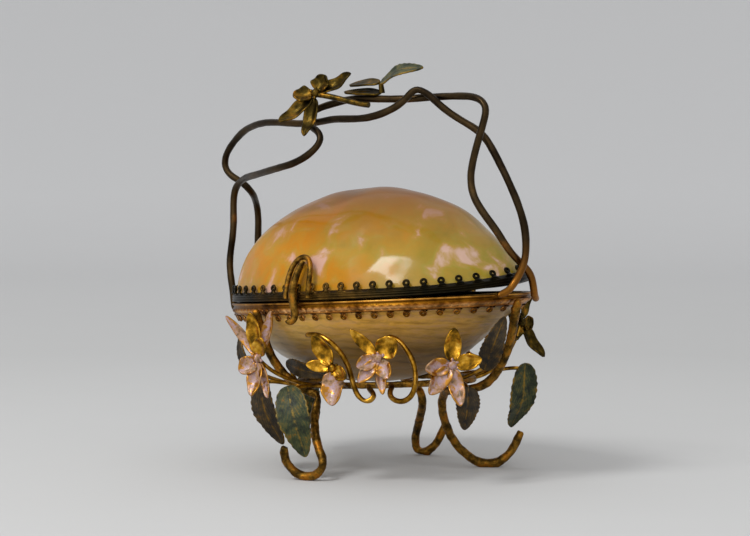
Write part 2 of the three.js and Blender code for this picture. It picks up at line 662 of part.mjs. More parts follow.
function handleLeaves() {
  const fork = handlePoint([0.366, -0.538, 1.02])
  const foot = handlePoint([0.366, -0.528, 0.947])
  foot.z += HANDLE_WIRE / 2 + TOUCH_GAP
  const facing = new THREE.Vector3(0.1, -0.55, 0.85)
  const green = handlePoint([0.636, -0.437, 1.075])
  const gilt = handlePoint([0.127, -0.549, 1.022])
  const low = handlePoint([0.11, -0.6, 0.99])
  const shape = { facing, thickness: LEAF_BLADE, cup: 0.15 }
  return joined([
    blade({ base: fork, tip: green, width: 7, stations: 5, fullest: 0.7, ...shape }),
    blade({ base: fork, tip: gilt, width: 3.6, stations: 4, curl: 0.03, ...shape }),
    blade({ base: foot, tip: low, width: 3.4, stations: 4, curl: 0.02, ...shape }),
    wire([fork.clone().lerp(gilt, 0.2), fork, fork.clone().lerp(green, 0.15)], STEM_WIRE, 3),
    wire([foot, fork], 1.8, 1, 6),
  ])
}

// Finishes
function finish(color, roughness, metalness) {
  return new THREE.MeshStandardMaterial({ color, roughness, metalness })
}
const lidNacre = finish(0xc9973f, 0.28, 0)
const bowlNacre = finish(0x9a7d4f, 0.32, 0)
const darkBronze = finish(0x5a4630, 0.5, 1)
const giltBrass = finish(0x8f6a2c, 0.42, 1)
const wireBronze = finish(0x4c3a29, 0.48, 1)
const legBronze = finish(0x6a4f28, 0.55, 1)
const brightGilt = finish(0xc9962e, 0.35, 1)
const greenEnamel = finish(0x45503f, 0.5, 0)

// Assembly
const boxed = new THREE.Group()
boxed.position.copy(boxFrame.position)
boxed.rotation.copy(boxFrame.rotation)
const part = new THREE.Group()
part.add(boxed)

function add(group, name, geometry, material) {
  const mesh = new THREE.Mesh(geometry, material)
  mesh.name = name
  group.add(mesh)
}

add(boxed, "bowl_shell", shellHalf(bowl), bowlNacre)
add(boxed, "lid_shell", shellHalf(lid), lidNacre)
add(boxed, "bowl_rim", toothedRim(bowl, BOWL_RIM_HEIGHT), giltBrass)
add(boxed, "lid_rim", toothedRim(lid, LID_RIM_HEIGHT), darkBronze)
add(boxed, "hinge_leaf_bowl", hingeLeaf(-1, BOWL_RIM_HEIGHT, [-outerKnuckle, outerKnuckle]), darkBronze)
add(boxed, "hinge_leaf_lid", hingeLeaf(1, LID_RIM_HEIGHT + TOOTH_HEIGHT, [0]), darkBronze)
add(boxed, "hinge_pin", hingeCylinder(PIN_DIAMETER, HINGE_LENGTH, 0), darkBronze)
add(boxed, "spring_catch", springCatch(), darkBronze)
add(boxed, "handle_wire_back", wire(backWire, HANDLE_WIRE, 56), wireBronze)
add(boxed, "handle_wire_front", wire(frontWire, HANDLE_WIRE, 56), wireBronze)
add(boxed, "handle_flower", handleFlower(), brightGilt)
add(boxed, "handle_leaves", handleLeaves(), greenEnamel)
add(boxed, "cradle_ring", cradleRing(), legBronze)
for (const [name, values] of Object.entries(TENDRILS)) add(boxed, name, tendril(values), brightGilt)
for (const [name, values] of Object.entries(FLOWERS)) add(boxed, name, flower(values), brightGilt)
for (const [name, values] of Object.entries(LEAVES)) add(boxed, name, leaf(values), greenEnamel)
for (const [name, values] of Object.entries(LEGS)) add(part, name, leg(values), legBronze)

// The origin is under the middle of the whole, on the surface that the feet stand on
part.updateMatrixWorld(true)
const bounds = new THREE.Box3().setFromObject(part, true)
part.position.x = -(bounds.min.x + bounds.max.x) / 2
part.position.y = -(bounds.min.y + bounds.max.y) / 2
part.updateMatrixWorld(true)

export default part
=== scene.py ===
import bisect
import math

import bpy
from mathutils import Matrix, Vector, noise


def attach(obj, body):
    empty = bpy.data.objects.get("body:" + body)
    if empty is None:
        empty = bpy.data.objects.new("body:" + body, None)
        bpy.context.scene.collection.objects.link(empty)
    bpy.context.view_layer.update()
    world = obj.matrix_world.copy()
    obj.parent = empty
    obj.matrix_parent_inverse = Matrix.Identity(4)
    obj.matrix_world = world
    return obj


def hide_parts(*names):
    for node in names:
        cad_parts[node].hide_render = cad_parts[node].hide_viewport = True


# A trinket box of two mother-of-pearl shell halves in toothed rims, on a stand of bent wire with
# flowers and leaves. The sections follow the object as it is put together, from the legs upwards.
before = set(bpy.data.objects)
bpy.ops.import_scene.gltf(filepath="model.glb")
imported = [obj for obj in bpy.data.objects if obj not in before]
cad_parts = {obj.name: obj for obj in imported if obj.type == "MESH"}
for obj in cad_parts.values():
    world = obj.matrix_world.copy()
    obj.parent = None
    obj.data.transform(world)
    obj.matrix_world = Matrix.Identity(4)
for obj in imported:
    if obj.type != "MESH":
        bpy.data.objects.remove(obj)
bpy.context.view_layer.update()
mm = 0.001
bpy.ops.object.select_all(action="DESELECT")


# The legs and the cradle ring
# Three legs, each bent by hand from one thick bronze wire, pass under a ring that carries the bowl.
# The wire is hammered until it is knotty like a twig, then gilded, and the gilding has worn.

def linear(colour):
    """An sRGB hex colour as a linear one."""
    channels = [int(colour[i:i + 2], 16) / 255 for i in (1, 3, 5)]
    return [c / 12.92 if c <= 0.04045 else ((c + 0.055) / 1.055) ** 2.4 for c in channels] + [1]


def add(finish, kind, inputs=None, stops=None, **fields):
    """Adds a node to a finish, with its fields, its ramp's stops, and a value or a link for each input."""
    node = finish.node_tree.nodes.new(kind)
    for field, value in fields.items():
        setattr(node, field, value)
    for socket, value in (inputs or {}).items():
        if isinstance(value, bpy.types.NodeSocket):
            finish.node_tree.links.new(value, node.inputs[socket])
        else:
            node.inputs[socket].default_value = value
    if stops:
        elements = node.color_ramp.elements
        while len(elements) < len(stops):
            elements.new(0.5)
        for element, (place, colour) in zip(elements, stops):
            element.position = place
            element.color = linear(colour) if isinstance(colour, str) else (colour, colour, colour, 1)
    return node


def own_place(finish):
    """A point's place on its own piece, in metres."""
    return add(finish, "ShaderNodeTexCoord").outputs["Object"]


def cloudy(finish, spot, size, detail, roughness=0.5, distortion=0):
    """A cloudy pattern with clouds of a size in mm."""
    inputs = {"Vector": spot, "Scale": 1 / (size * mm), "Detail": detail, "Roughness": roughness,
              "Distortion": distortion}
    return add(finish, "ShaderNodeTexNoise", inputs).outputs["Fac"]


def ranged(finish, value, start, end, low=0, high=1):
    """A value between low and high as one between start and end."""
    return add(finish, "ShaderNodeMapRange", {"Value": value, 1: low, 2: high, 3: start, 4: end}).outputs[0]


def ramp(finish, value, stops):
    """The colour or grey that a value has between stops."""
    return add(finish, "ShaderNodeValToRGB", {"Fac": value}, stops).outputs[0]


def relief(finish, height, strength, depth, normal=None):
    """Relief that follows a height, to a depth in mm, laid over other relief where its normal is given."""
    inputs = {"Height": height, "Strength": strength, "Distance": depth * mm}
    if normal is not None:
        inputs["Normal"] = normal
    return add(finish, "ShaderNodeBump", inputs).outputs[0]


def new_finish(name):
    """An empty finish, with its output."""
    finish = bpy.data.materials.new(name)
    finish.use_nodes = True
    finish.node_tree.nodes.clear()
    return finish


def lacquer(finish, **inputs):
    """Ends a finish with its surface, from the values and links given by socket name."""
    sockets = {name.replace("_", " "): value for name, value in inputs.items()}
    surface = add(finish, "ShaderNodeBsdfPrincipled", sockets)
    add(finish, "ShaderNodeOutputMaterial", {"Surface": surface.outputs[0]})


def in_edit(piece, *steps):
    """Runs steps in edit mode on all of a piece's mesh."""
    bpy.ops.object.select_all(action="DESELECT")
    piece.select_set(True)
    bpy.context.view_layer.objects.active = piece
    bpy.ops.object.mode_set(mode="EDIT")
    bpy.ops.mesh.select_all(action="SELECT")
    for step in steps:
        step()
    bpy.ops.object.mode_set(mode="OBJECT")


def shaped(piece, kind, **fields):
    """Adds a modifier to a piece and applies it."""
    bpy.context.view_layer.objects.active = piece
    modifier = piece.modifiers.new(kind.title(), kind)
    for field, value in fields.items():
        setattr(modifier, field, value)
    bpy.ops.object.modifier_apply(modifier=modifier.name)


# The share of its radius that a wire loses when its flats are rounded off, by its number of sides.
ROUNDING_LOSS = {5: 0.119, 6: 0.084}


def rounded_wire(name, node, diameter, sides, levels, lump=0, lump_size=3):
    """A wire of the frame with its flats rounded off, brought back to its diameter and hammered."""
    piece = bpy.data.objects.new(name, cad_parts[node].data.copy())
    bpy.context.collection.objects.link(piece)
    piece.data.materials.clear()
    in_edit(piece, lambda: bpy.ops.mesh.remove_doubles(threshold=0.005 * mm),
            bpy.ops.mesh.tris_convert_to_quads)
    shaped(piece, "SUBSURF", levels=levels, render_levels=levels)
    loss = ROUNDING_LOSS[sides] * diameter / 2 * mm
    in_edit(piece, lambda: bpy.ops.transform.shrink_fatten(value=loss))
    if lump:
        hammering = bpy.data.textures.new(name, "CLOUDS")
        hammering.noise_scale = lump_size * mm
        hammering.noise_depth = 2
        shaped(piece, "DISPLACE", texture=hammering, strength=lump * mm, mid_level=0.5,
               texture_coords="LOCAL")
    piece.data.shade_smooth()
    return piece


def fitted(piece, body, slot, *nodes):
    """Gives a finished piece its body and hides the nodes that it stands for. Its slot is not used."""
    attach(piece, body)
    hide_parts(*nodes)


# Gilt bronze wire, hammered and worn: brown metal in the hollows, orange gilding left on the rest.
leg_gilt = new_finish("Worn gilt bronze wire")
spot = own_place(leg_gilt)
patches = cloudy(leg_gilt, spot, 2.8, 5, 0.62)
grit = cloudy(leg_gilt, spot, 0.8, 3)
colours = ramp(leg_gilt, patches,
               [(0.34, "#32260f"), (0.45, "#5e4317"), (0.54, "#8c6626"), (0.61, "#a3691f"), (0.7, "#6a4a1e")])
worn = ranged(leg_gilt, grit, 0.34, 0.66)
bump = relief(leg_gilt, grit, 0.8, 0.22)
lacquer(leg_gilt, Base_Color=colours, Metallic=1.0, Roughness=worn, Normal=bump)

for node in ("leg_front", "leg_right", "leg_back"):
    leg = rounded_wire("twig_" + node, node, 2.4, 6, 3, lump=0.42, lump_size=2)
    leg.data.materials.append(leg_gilt)
    fitted(leg, "stand", "leg_bronze", node)
ring = rounded_wire("twig_cradle_ring", "cradle_ring", 1.8, 5, 3, lump=0.3, lump_size=2)
ring.data.materials.append(leg_gilt)
fitted(ring, "stand", "leg_bronze", "cradle_ring")


# The tendrils
# Three thin wires soldered to the ring, which curl out and up in front of the bowl and behind it.
# They are polished and gilded, and stay brighter than the legs.

def gilding(name, size, stops, dull, bright):
    """Gilding of one make: its patches' size in mm, their colours, and how dull and bright they are."""
    finish = new_finish(name)
    spot = own_place(finish)
    patches = cloudy(finish, spot, size, 5, 0.6)
    colours = ramp(finish, patches, stops)
    worn = ranged(finish, patches, dull, bright)
    bump = relief(finish, patches, 0.4, 0.2)
    lacquer(finish, Base_Color=colours, Metallic=1.0, Roughness=worn, Normal=bump)
    return finish


# Gilding over bronze wire, handled: brown with a warm yellow shine where it stands out.
drawn_gilt = gilding("Handled gilt bronze", 3,
                     [(0.34, "#4a3108"), (0.48, "#8a6118"), (0.6, "#b98a34")], 0.4, 0.22)

for node in ("tendril_front", "tendril_right", "tendril_back"):
    tendril = rounded_wire("curl_" + node, node, 1.5, 5, 2, lump=0.15)
    tendril.data.materials.append(drawn_gilt)
    fitted(tendril, "stand", "bright_gilt", node)


# The bowl
# The lower shell half, ground thin from a sea shell and polished down to its mother-of-pearl.
# Its growth lines run round it under the rim. Painted shade darkens it downwards and towards its right end, and
# painted light brightens it just under the rim.

HALF_LENGTH = 46.5
HALF_WIDTH = 30
EGG_SHARE = 0.1
SHELL_WALL = 1.6
RIM_LEVEL = 48.5
TILT = math.radians(3.5)
SHIFT = (0.5515, 1.1929)
# A shell's edge seats on its rim's ledge, this far from the plane where the halves meet.
SHELL_SEAT = 1.1
DOME_POWER = 2.1
END_SLIMMING = 0.2
WARP_TURN = math.radians(15)
WARP_POWER = 8
SHELL_STEPS = (180, 60)
GROWTH_PITCH = 2.3
GROWTH_WANDER = 14


def outline(turn):
    """A point of the egg-shaped outline of the shell, in mm."""
    return Vector((HALF_LENGTH * math.cos(turn),
                   HALF_WIDTH * math.sin(turn) * (1 - EGG_SHARE * math.cos(turn)), 0))


def outwards(turn):
    """The way square to the outline."""
    swell = math.cos(turn) * (1 - EGG_SHARE * math.cos(turn)) + EGG_SHARE * math.sin(turn) ** 2
    return Vector((HALF_WIDTH * swell, HALF_LENGTH * math.sin(turn), 0)).normalized()


def beside(turn, share, stand_off, height):
    """At a share of the way out to the outline and a stand-off from it, at a height over the rims."""
    point = outline(turn) * share + outwards(turn) * stand_off
    point.z = height
    return point


def standing(point):
    """A point of the tilted box, in mm, as a place in the room, in metres."""
    along = point.x * math.cos(TILT) - point.z * math.sin(TILT)
    up = point.x * math.sin(TILT) + point.z * math.cos(TILT)
    return Vector((along + SHIFT[0], point.y + SHIFT[1], up + RIM_LEVEL)) * mm


def split(finish, vector):
    """The three parts of a place, each by its letter."""
    return add(finish, "ShaderNodeSeparateXYZ", {"Vector": vector}).outputs


def worked(finish, operation, *values):
    """The result of a sum on values and links."""
    return add(finish, "ShaderNodeMath", dict(enumerate(values)), operation=operation).outputs[0]


def blended(finish, share, under, over, blend="MIX"):
    """One colour laid over another by a share."""
    return add(finish, "ShaderNodeMix", {0: share, 6: under, 7: over}, data_type="RGBA",
               blend_type=blend).outputs[2]


class Half:
    """One shell half: which way it faces, its height, how slim it is, where its rim begins, its warp."""

    def __init__(self, side, height, slim, meeting, warp):
        self.side, self.height, self.slim, self.meeting, self.warp = side, height, slim, meeting, warp

    def slimness(self, turn):
        return self.slim + END_SLIMMING * math.cos(turn)

    def rise(self, turn, share):
        return self.height * max(0, 1 - share ** DOME_POWER) ** self.slimness(turn)

    def share(self, turn, rise):
        part = min(1, max(0, rise / self.height))
        return (1 - part ** (1 / self.slimness(turn))) ** (1 / DOME_POWER)

    def lift(self, turn):
        return self.warp * ((1 + math.cos(turn - WARP_TURN)) / 2) ** WARP_POWER


def laid_out(name, columns, rows, place):
    """A grid whose corners go where place says, from the shares along and across; its seams are closed."""
    bpy.ops.mesh.primitive_grid_add(x_subdivisions=columns, y_subdivisions=rows, size=2)
    piece = bpy.context.object
    piece.name = piece.data.name = name
    for corner in piece.data.vertices:
        corner.co = place((corner.co.x + 1) / 2, (corner.co.y + 1) / 2)
    in_edit(piece, lambda: bpy.ops.mesh.remove_doubles(threshold=0.002 * mm),
            lambda: bpy.ops.mesh.normals_make_consistent(inside=False))
    piece.data.shade_smooth()
    return piece


def shell(name, half, wave, wave_size, lines):
    """A dished shell half with the hollows and swells of its growth, and its wall inside."""
    def place(along, across):
        turn = along * 2 * math.pi
        share = math.cos(across * math.pi / 2)
        edge = half.meeting + SHELL_SEAT + half.lift(turn) * share ** 2
        point = beside(turn, share, 0, half.side * (edge + half.rise(turn, share)))
        swell = wave * noise.noise(Vector((point.x, point.y, 1.4 * point.z)) / wave_size)
        swell += lines * math.sin(point.z * GROWTH_PITCH + 3 * noise.noise(point / GROWTH_WANDER))
        away = Vector((point.x / 3, point.y, point.z)).normalized()
        return standing(point + away * (swell - wave * 0.3) * min(1, 1.2 - share ** 6))

    piece = laid_out(name, *SHELL_STEPS, place)
    if sum(face.normal.z for face in piece.data.polygons) * half.side < 0:
        in_edit(piece, bpy.ops.mesh.flip_normals)
    shaped(piece, "SOLIDIFY", thickness=SHELL_WALL * mm, offset=-1)
    return piece


bowl = Half(-1, 22.5, 0.88, 0, 0)

# Mother-of-pearl, cut across its layers: milky and satin, tan over olive, with grey growth lines.
bowl_pearl = new_finish("Polished mother-of-pearl, tan")
spot = own_place(bowl_pearl)
place = split(bowl_pearl, spot)
clouds = cloudy(bowl_pearl, spot, 16, 4, distortion=0.6)
squeezed = add(bowl_pearl, "ShaderNodeMapping",
               {"Vector": spot, "Scale": (1, 1, 7), "Rotation": (0, math.radians(-6), 0)})
streaks = cloudy(bowl_pearl, squeezed.outputs[0], 9, 6, 0.65)
lines = add(bowl_pearl, "ShaderNodeTexWave",
            {"Vector": spot, "Scale": 1 / (6.3 * mm), "Distortion": 5, "Detail": 3, "Detail Scale": 1.5},
            bands_direction="Z")
# Painted shade: along runs the colour towards the ramp's dark brown stops at the bowl's right end; the clouds
# are the pearl's own tone.
along = ranged(bowl_pearl, place["X"], 0.0, 0.75, -0.03, 0.045)
drift = worked(bowl_pearl, "MULTIPLY_ADD", clouds, 0.55, along)
ground = ramp(bowl_pearl, drift,
              [(0.3, "#dcba6c"), (0.5, "#e0ac44"), (0.7, "#c89236"), (0.85, "#946a20"), (1.0, "#4e3a12")])
veil = ramp(bowl_pearl, streaks, [(0.35, "#7a5818"), (0.5, "#bf9440"), (0.6, "#b68c64"), (0.7, "#86763a")])
pearl = blended(bowl_pearl, 0.4, ground, veil)
lined = ranged(bowl_pearl, lines.outputs["Fac"], 0.82, 1.0, 0.0, 0.35)
shaded = blended(bowl_pearl, 1.0, pearl, lined, "MULTIPLY")
# Painted light and shade: this level is multiplied into the colour, brighter just under the rim and darker
# lower down.
level = ranged(bowl_pearl, place["Z"], 0.4, 1.42, 0.0355, 0.0435)
shaded = blended(bowl_pearl, 1.0, shaded, level, "MULTIPLY")
bump = relief(bowl_pearl, lines.outputs["Fac"], 0.3, 0.12)
lacquer(bowl_pearl, Base_Color=shaded, Roughness=0.36, Specular_IOR_Level=0.3, Coat_Weight=0.2,
        Coat_Roughness=0.15, Normal=bump)

bowl_piece = shell("pearl_bowl", bowl, 0.25, 9, 0.05)
bowl_piece.data.materials.append(bowl_pearl)
fitted(bowl_piece, "stand", "bowl_nacre", "bowl_shell")


# The bowl's rim
# A brass band bent round the shell's edge, with a roll on top, a hollow, a row of beads and a row
# of little eyelets that hang under it. The beads are gilded, and the rest has gone brown.

RIM_OUTSIDE = 1.3
TOUCH_GAP = 0.3
RIM_LEAN = 0.5
BEADS = 104
BEAD_DEPTH = 0.5
EYELETS = 52
EYELET_STAND_OFF = 0.9


def turn_shares(steps=1440):
    """The shares of the outline's length at equal turns."""
    lengths = [0]
    for step in range(steps):
        stretch = outline((step + 1) / steps * 2 * math.pi) - outline(step / steps * 2 * math.pi)
        lengths.append(lengths[-1] + stretch.length)
    return [length / lengths[-1] for length in lengths]


ROUND = turn_shares()


def turn_at(share):
    """The turn at a share of the outline's length."""
    step = min(len(ROUND) - 2, bisect.bisect_right(ROUND, share) - 1)
    part = (share - ROUND[step]) / (ROUND[step + 1] - ROUND[step])
    return (step + part) / (len(ROUND) - 1) * 2 * math.pi


def rim_place(half, turn, stand_off, rise):
    """A place on a rim, which leans in with the shell: rise is its distance from the meeting plane."""
    share = half.share(turn, rise - SHELL_SEAT - RIM_LEAN)
    return standing(beside(turn, share, stand_off, half.side * (half.meeting + half.lift(turn) + rise)))


def band(name, half, section, columns, bead_rows=(), wave=0, wave_rows=()):
    """A rim's band: its section laid round the outline, with beads and a wavy edge worked into it."""
    last = len(section)

    def place(along, across):
        row = round(across * last) % last
        stand_off, rise = section[row]
        if row in bead_rows:
            stand_off -= BEAD_DEPTH * (1 - abs(math.sin(math.pi * BEADS * along)) ** 0.6)
        if row in wave_rows:
            rise += wave * (0.5 - 0.5 * math.cos(2 * math.pi * EYELETS * along)) - wave
        return rim_place(half, turn_at(along % 1), stand_off, rise)

    return laid_out(name, columns, last, place)


def eyelet(name):
    """One eyelet on its neck, upright at the origin, in mm."""
    bpy.ops.mesh.primitive_torus_add(major_radius=0.66, minor_radius=0.4, major_segments=12, minor_segments=5,
                                     location=(0, 0, 1.2), rotation=(math.pi / 2, 0, 0))
    ring = bpy.context.object
    bpy.ops.mesh.primitive_cone_add(vertices=8, radius1=1.15, radius2=0.4, depth=0.95,
                                    end_fill_type="NOTHING", location=(0, 0, 0.28))
    neck = bpy.context.object
    neck.scale.y = 0.5
    ring.select_set(True)
    bpy.context.view_layer.objects.active = ring
    bpy.ops.object.join()
    bpy.ops.object.transform_apply()
    ring.name = name
    ring.data.shade_smooth()
    return ring


def joined(first, others):
    """Joins finished parts into the first one."""
    bpy.ops.object.select_all(action="DESELECT")
    for part in others:
        part.select_set(True)
    first.select_set(True)
    bpy.context.view_layer.objects.active = first
    bpy.ops.object.join()
    return first


def with_eyelets(piece, half, height):
    """A band with its row of eyelets."""
    pattern = eyelet("eyelet")
    copies = []
    for count in range(EYELETS):
        turn = turn_at((count + 0.5) / EYELETS)
        foot = rim_place(half, turn, EYELET_STAND_OFF, height)
        up = (rim_place(half, turn, EYELET_STAND_OFF, height + 1) - foot).normalized()
        sideways = outwards(turn).cross(Vector((0, 0, 1)))
        away = sideways.cross(up).normalized()
        sideways = up.cross(away)
        copy = bpy.data.objects.new("eyelet", pattern.data.copy())
        bpy.context.collection.objects.link(copy)
        turned = Matrix((sideways, away, up)).transposed().to_4x4()
        copy.data.transform(Matrix.Translation(foot) @ turned @ Matrix.Scale(mm, 4))
        copies.append(copy)
    bpy.data.objects.remove(pattern)
    return joined(piece, copies)


bowl_section = [(-2.2, 0), (1.05, 0), (1.26, 0.08), (1.36, 0.26), (1.36, 0.46), (1.24, 0.62), (1.0, 0.72),
                (0.9, 0.95), (0.9, 1.2), (1.02, 1.38), (1.14, 1.44), (1.14, 1.6), (1.3, 1.75), (1.42, 2.0),
                (1.44, 2.2), (1.42, 2.4), (1.3, 2.65), (1.14, 2.8), (1.2, 2.9), (1.26, 3.05), (1.2, 3.22),
                (1.0, 3.3), (0.5, 3.3), (0.5, 0.8), (-2.2, 0.8)]

# Gilt brass, browned: red gold on the beads, a bright line on the roll that is a painted highlight, and brown
# between.
rim_gilt = new_finish("Browned gilt brass")
spot = own_place(rim_gilt)
patches = cloudy(rim_gilt, spot, 7, 4, 0.6)
grit = cloudy(rim_gilt, spot, 0.7, 2)
across = split(rim_gilt, add(rim_gilt, "ShaderNodeUVMap").outputs[0])
# Colours by row of the section: the bright row on the roll is a painted highlight.
gilt_zones_and_painted_highlight = ramp(rim_gilt, across["Y"],
             [(0.06, "#5b4018"), (0.13, "#e0a850"), (0.22, "#9a6c24"), (0.27, "#8a5e18"), (0.42, "#94661c"),
              (0.5, "#c88a4a"), (0.58, "#f2c48a"), (0.68, "#cc8e4a"), (0.84, "#7a5520")])
dull = ramp(rim_gilt, patches, [(0.35, "#907f66"), (0.5, "#e0d0b4"), (0.65, "#ffffff")])
colours = blended(rim_gilt, 1.0, gilt_zones_and_painted_highlight, dull, "MULTIPLY")
place = split(rim_gilt, spot)
ends = ranged(rim_gilt, place["X"], 0.3, 1.0, -0.046, -0.02)
colours = blended(rim_gilt, 1.0, colours, ends, "MULTIPLY")
worn = ranged(rim_gilt, grit, 0.26, 0.5)
bump = relief(rim_gilt, grit, 0.7, 0.14)
lacquer(rim_gilt, Base_Color=colours, Metallic=1.0, Roughness=worn, Normal=bump)

bowl_rim = band("beaded_bowl_rim", bowl, bowl_section, 12 * BEADS, bead_rows=range(12, 17))
bowl_rim = with_eyelets(bowl_rim, bowl, 3.25)
bowl_rim.data.materials.append(rim_gilt)
fitted(bowl_rim, "stand", "gilt_rim", "bowl_rim")


# The lid's shell
# The upper shell half, higher than the bowl and warped at one end. It is cut from a golden shell,
# and its polished face keeps the facets of the grinding.

lid = Half(1, 29.5, 0.7, 0.4, 2.8)

# Mother-of-pearl, polished and lacquered: honey gold over olive, with pink and white clouds in it, and painted
# shade that darkens its top.
lid_pearl = new_finish("Polished mother-of-pearl, golden")
spot = own_place(lid_pearl)
place = split(lid_pearl, spot)
clouds = cloudy(lid_pearl, spot, 15, 3, distortion=0.8)
layers = cloudy(lid_pearl, spot, 7, 4, distortion=0.4)
facets = add(lid_pearl, "ShaderNodeTexVoronoi", {"Vector": spot, "Scale": 1 / (9 * mm), "Smoothness": 0.5},
             feature="SMOOTH_F1")
along = ranged(lid_pearl, place["X"], 0.0, 0.6, -0.045, 0.045)
drift = worked(lid_pearl, "MULTIPLY_ADD", clouds, 0.8, along)
ground = ramp(lid_pearl, drift,
              [(0.2, "#a89438"), (0.4, "#b88a22"), (0.6, "#bc7a10"), (0.8, "#a28228"), (1.0, "#887a26")])
veil = ramp(lid_pearl, layers,
            [(0.3, "#6a3f06"), (0.42, "#b06c0c"), (0.52, "#9a8430"), (0.6, "#b2864a"), (0.68, "#cfa8a0")])
amount = ranged(lid_pearl, layers, 0.15, 0.7, 0.4, 0.7)
colours = blended(lid_pearl, amount, ground, veil)
bump = relief(lid_pearl, facets.outputs["Distance"], 0.8, 0.9)
# Painted shade: the lid's top is darkened towards dark brown.
painted_crown_shade = ranged(lid_pearl, place["Z"], 0.0, 0.9, 0.062, 0.077)
colours = blended(lid_pearl, painted_crown_shade, colours, linear("#784604"))
lacquer(lid_pearl, Base_Color=colours, Roughness=0.3, Specular_IOR_Level=0.1, Coat_Weight=0.33,
        Coat_Roughness=0.09, Normal=bump)

lid_piece = shell("pearl_lid", lid, 0.65, 12, 0)
lid_piece.data.materials.append(lid_pearl)
fitted(lid_piece, "lid", "lid_nacre", "lid_shell")


# The lid's rim
# The same kind of band round the lid, with three fine mouldings and a wavy edge that carries its
# eyelets. It has lost its gilding, and is dark brown, nearly black towards both ends.

lid_section = [(-2.2, 0), (1.0, 0), (1.24, 0.08), (1.34, 0.24), (1.32, 0.42), (1.18, 0.54), (1.04, 0.62),
               (1.1, 0.74), (1.26, 0.84), (1.32, 0.98), (1.26, 1.12), (1.08, 1.22), (1.02, 1.32),
               (1.14, 1.42), (1.24, 1.54), (1.2, 1.7), (1.04, 1.8), (0.94, 1.95), (0.94, 2.2), (1.02, 2.38),
               (0.96, 2.52), (0.8, 2.58), (0.5, 2.5), (0.5, 0.8), (-2.2, 0.8)]

# Brass gone brown: dark lacquer in the hollows, thin rubbed lines of metal on the mouldings.
rim_brown = new_finish("Browned brass")
spot = own_place(rim_brown)
place = split(rim_brown, spot)
patches = cloudy(rim_brown, spot, 6, 4, 0.6)
off_middle = worked(rim_brown, "ABSOLUTE", place["X"])
along = ranged(rim_brown, off_middle, 0.0, 0.45, 0.01, 0.036)
drift = worked(rim_brown, "SUBTRACT", patches, along)
colours = ramp(rim_brown, drift,
               [(0.0, "#14120c"), (0.22, "#241e10"), (0.4, "#3e2f16"), (0.52, "#5a421c"), (0.66, "#7c5e2c")])
worn = ranged(rim_brown, patches, 0.3, 0.5)
bump = relief(rim_brown, patches, 0.3, 0.1)
lacquer(rim_brown, Base_Color=colours, Metallic=1.0, Roughness=worn, Normal=bump)

lid_rim = band("moulded_lid_rim", lid, lid_section, 16 * EYELETS, wave=0.75, wave_rows=range(18, 22))
lid_rim = with_eyelets(lid_rim, lid, 2.45)
lid_rim.data.materials.append(rim_brown)
fitted(lid_rim, "lid", "dark_rim", "lid_rim")


# The hinge
# A brass butt hinge at the middle of the back: a leaf soldered to each rim, three knuckles turned
# from tube, and a pin with eased ends.

HINGE_LENGTH = 14
HINGE_LEVEL = 0.2
KNUCKLE_GAP = 0.3
KNUCKLE = (HINGE_LENGTH - 2 * KNUCKLE_GAP) / 3
KNUCKLE_OUTSIDE = 2.6
KNUCKLE_BORE = 1.4
PIN_DIAMETER = 1.2
LEAF_THICKNESS = 0.8
WEB_HEIGHT = 1.6
LEAF_Y = HALF_WIDTH + RIM_OUTSIDE + TOUCH_GAP + LEAF_THICKNESS / 2
PIN_Y = LEAF_Y + KNUCKLE_OUTSIDE / 2


def stood(piece):
    """Takes a mesh from the box's own mm to its place in the room."""
    for corner in piece.data.vertices:
        corner.co = standing(corner.co)


def tube(length, outer, inner, middle):
    """A length of tube along the hinge, its rims eased; a rod where the inner diameter is 0."""
    bpy.ops.mesh.primitive_cylinder_add(vertices=24, radius=outer / 2, depth=length,
                                        rotation=(0, math.pi / 2, 0),
                                        end_fill_type="NOTHING" if inner else "NGON")
    piece = bpy.context.object
    bpy.ops.object.transform_apply()
    if inner:
        shaped(piece, "SOLIDIFY", thickness=(outer - inner) / 2, offset=-1)
    shaped(piece, "BEVEL", width=0.12, segments=2)
    piece.data.transform(Matrix.Translation((middle, PIN_Y, HINGE_LEVEL)))
    return piece


def hinge_leaf(name, side, reach, middles):
    """A leaf with its rounded knuckles and the webs that join them to it."""
    parts = []
    for middle in middles:
        parts.append(tube(KNUCKLE, KNUCKLE_OUTSIDE, KNUCKLE_BORE, middle))
        bpy.ops.mesh.primitive_cube_add(size=1, location=(middle, LEAF_Y, HINGE_LEVEL + side * 1.2),
                                        scale=(KNUCKLE, LEAF_THICKNESS, WEB_HEIGHT))
        bpy.ops.object.transform_apply()
        parts.append(bpy.context.object)
    bpy.ops.mesh.primitive_cube_add(size=1,
                                    location=(0, LEAF_Y, HINGE_LEVEL + side * (WEB_HEIGHT + reach) / 2),
                                    scale=(HINGE_LENGTH, LEAF_THICKNESS, reach - WEB_HEIGHT))
    leaf = bpy.context.object
    bpy.ops.object.transform_apply()
    shaped(leaf, "BEVEL", width=0.2, segments=3)
    for rivet in (-5, 5):
        bpy.ops.mesh.primitive_uv_sphere_add(segments=16, ring_count=8, radius=0.55,
                                             location=(rivet, LEAF_Y + 0.35,
                                                       HINGE_LEVEL + side * (reach + 1.4) / 2))
        parts.append(bpy.context.object)
    leaf = joined(leaf, parts)
    leaf.name = name
    stood(leaf)
    in_edit(leaf, lambda: bpy.ops.mesh.normals_make_consistent(inside=False))
    bpy.ops.object.shade_smooth_by_angle(angle=math.radians(35))
    leaf.data.materials.append(rim_brown)
    return leaf


